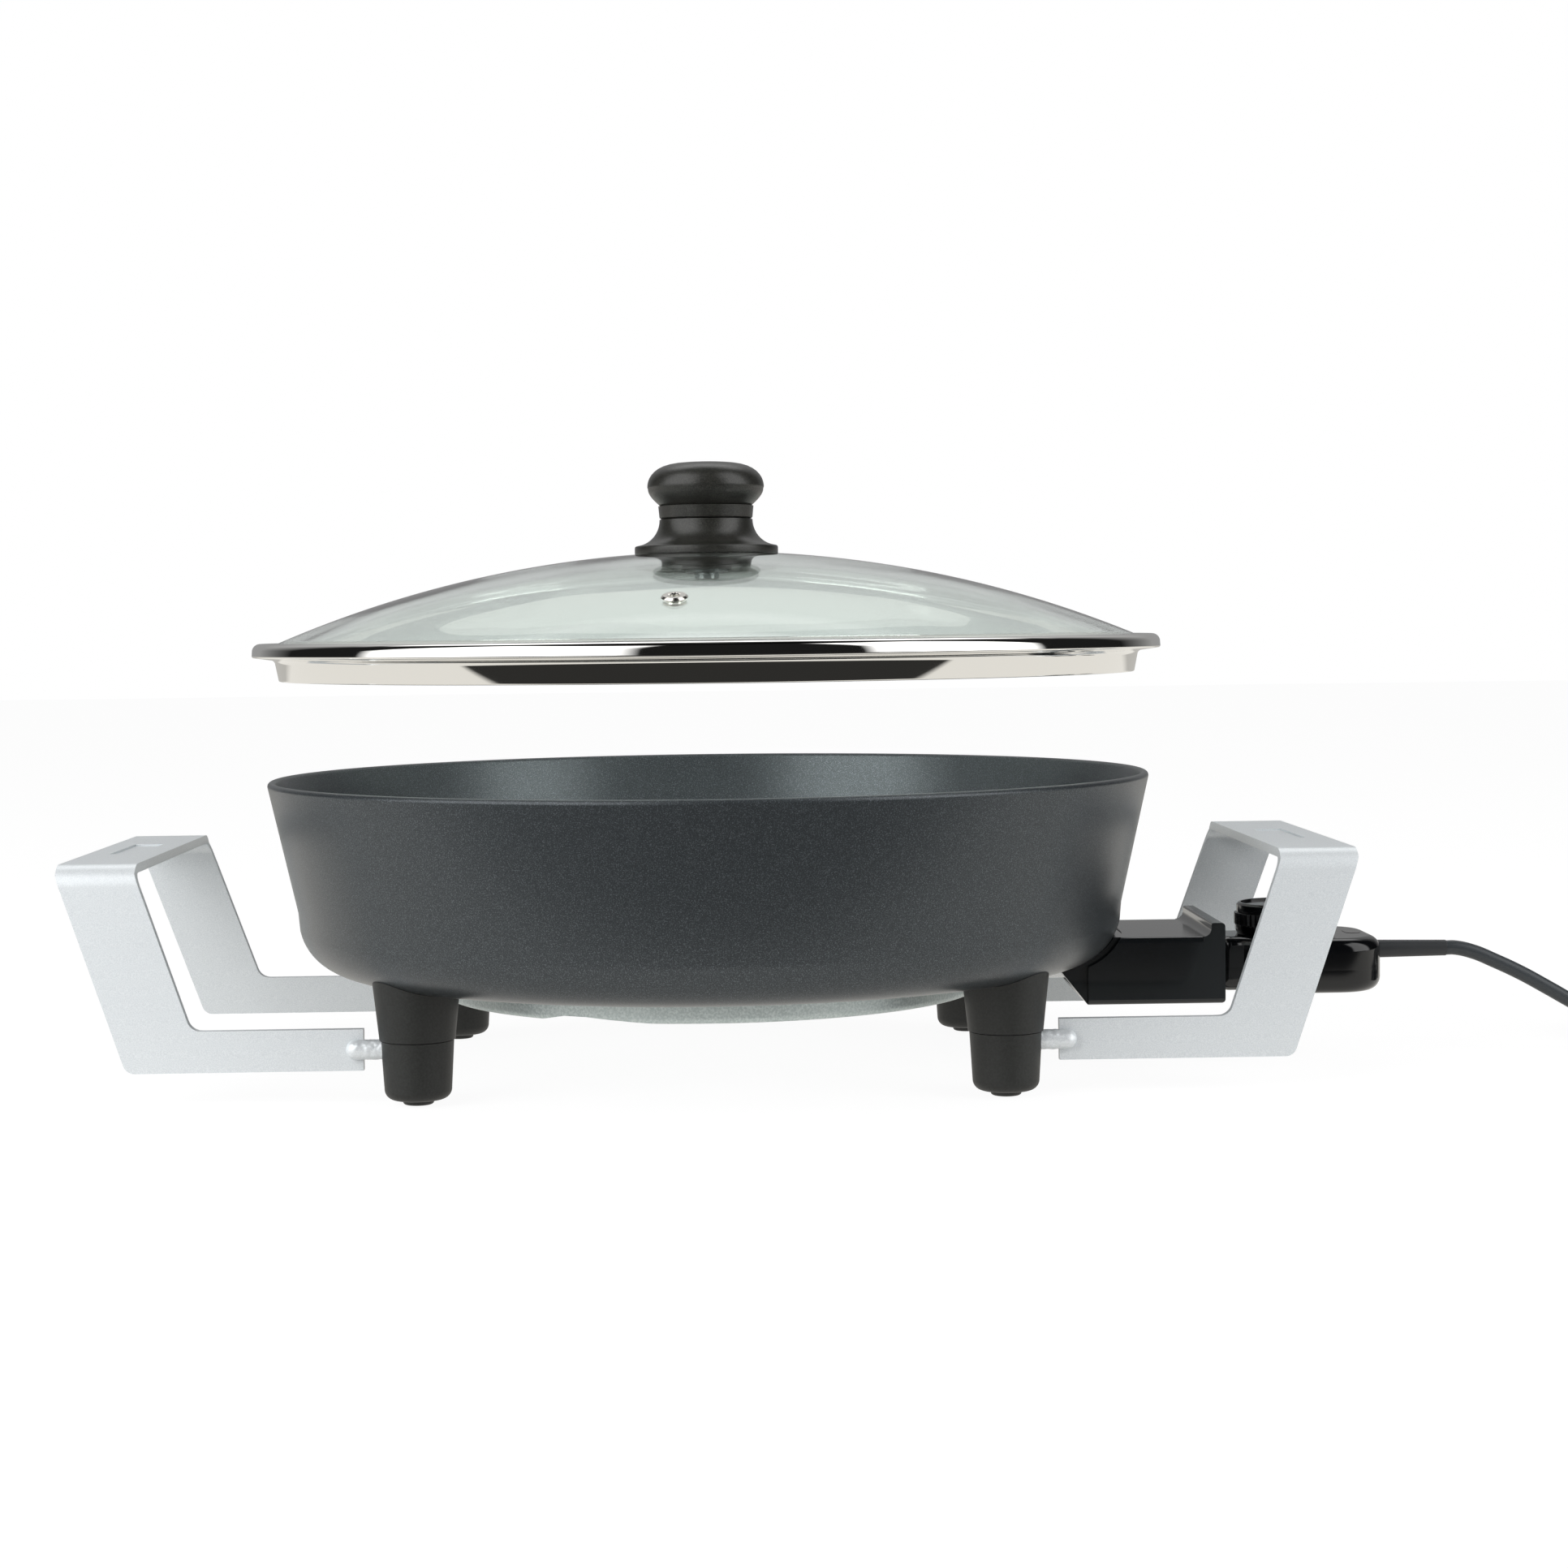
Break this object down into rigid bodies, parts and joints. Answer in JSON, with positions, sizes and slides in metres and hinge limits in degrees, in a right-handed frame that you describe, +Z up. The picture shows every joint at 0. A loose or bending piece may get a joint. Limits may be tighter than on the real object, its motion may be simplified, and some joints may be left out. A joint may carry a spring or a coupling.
{
  "type": "electric skillet",
  "caption": "Round electric skillet on four feet with strap handles, a plug-in thermostat controller with its cord, and a lift-off glass lid shown raised.",
  "frame": {"origin": "on the surface it stands on, under the middle of the skillet's bounding box without its cord", "axes": "+X from the left grip towards the controller and its cord, +Y to the back, +Z up through the lid's knob"},
  "size_m": [0.6434, 0.329, 0.2216],
  "materials": {
    "nonstick": "speckled charcoal non-stick coating, satin",
    "cast_aluminium": "fine cast grain, bare",
    "steel": "plain machined",
    "moulded_black": "matte, fine moulded grain",
    "satin_silver": "satin silver paint",
    "gloss_black": "polished moulding",
    "pale_insert": "satin",
    "smoked_lens": "smoked, clear",
    "brass": "plain",
    "steatite": "plain ceramic look",
    "cord_rubber": "satin",
    "tinted_glass": "clear, faint green grey tint",
    "polished_steel": "mirror polish",
    "silicone": "matte"
  },
  "bodies": {
    "skillet": {"pan": "nonstick", "heater_plate": "cast_aluminium", "heating_element": "steel", "foot_upper_front_left": "moulded_black", "foot_upper_front_right": "moulded_black", "foot_upper_back_left": "moulded_black", "foot_upper_back_right": "moulded_black", "foot_lower_front_left": "moulded_black", "foot_lower_front_right": "moulded_black", "foot_lower_back_left": "moulded_black", "foot_lower_back_right": "moulded_black", "foot_pad_front_left": "moulded_black", "foot_pad_front_right": "moulded_black", "foot_pad_back_left": "moulded_black", "foot_pad_back_right": "moulded_black", "foot_screws": "steel", "handle_strap_left": "satin_silver", "handle_strap_right": "satin_silver", "handle_rods_left": "satin_silver", "handle_rods_right": "satin_silver", "socket_shroud": "gloss_black", "shroud_screws": "steel"},
    "controller": {"controller_lower_shell": "gloss_black", "controller_upper_shell": "gloss_black", "controller_screws": "steel", "contact_block": "moulded_black", "contact_sleeves": "brass", "sensing_rod": "steel", "thermostat_switch": "steatite", "pilot_lens": "smoked_lens", "strain_relief": "cord_rubber", "cord": "cord_rubber", "cord_coil": "cord_rubber", "cord_tie": "moulded_black", "plug_body": "moulded_black", "plug_pins": "steel"},
    "dial_knob": {"dial": "gloss_black", "dial_pointer": "pale_insert", "dial_shaft": "steel"},
    "lid": {"lid_glass": "tinted_glass", "lid_rim": "polished_steel", "lid_vent": "polished_steel", "knob_base": "moulded_black", "knob_cap": "moulded_black", "knob_screw": "steel", "knob_washer": "steel", "knob_seal": "silicone"}
  },
  "joints": [
    {"name": "lid_lift", "type": "slide", "parent": "skillet", "child": "lid", "axis": [0, 0, 1], "range_m": [-0.0434, 0.1]},
    {"name": "probe_pull", "type": "slide", "parent": "skillet", "child": "controller", "axis": [1, 0, 0], "range_m": [0, 0.125]},
    {"name": "dial_turn", "type": "hinge", "parent": "controller", "child": "dial_knob", "pos_m": [0.20125, 0, 0.05], "axis": [0, 0, 1], "range_deg": [0, 270]}
  ]
}
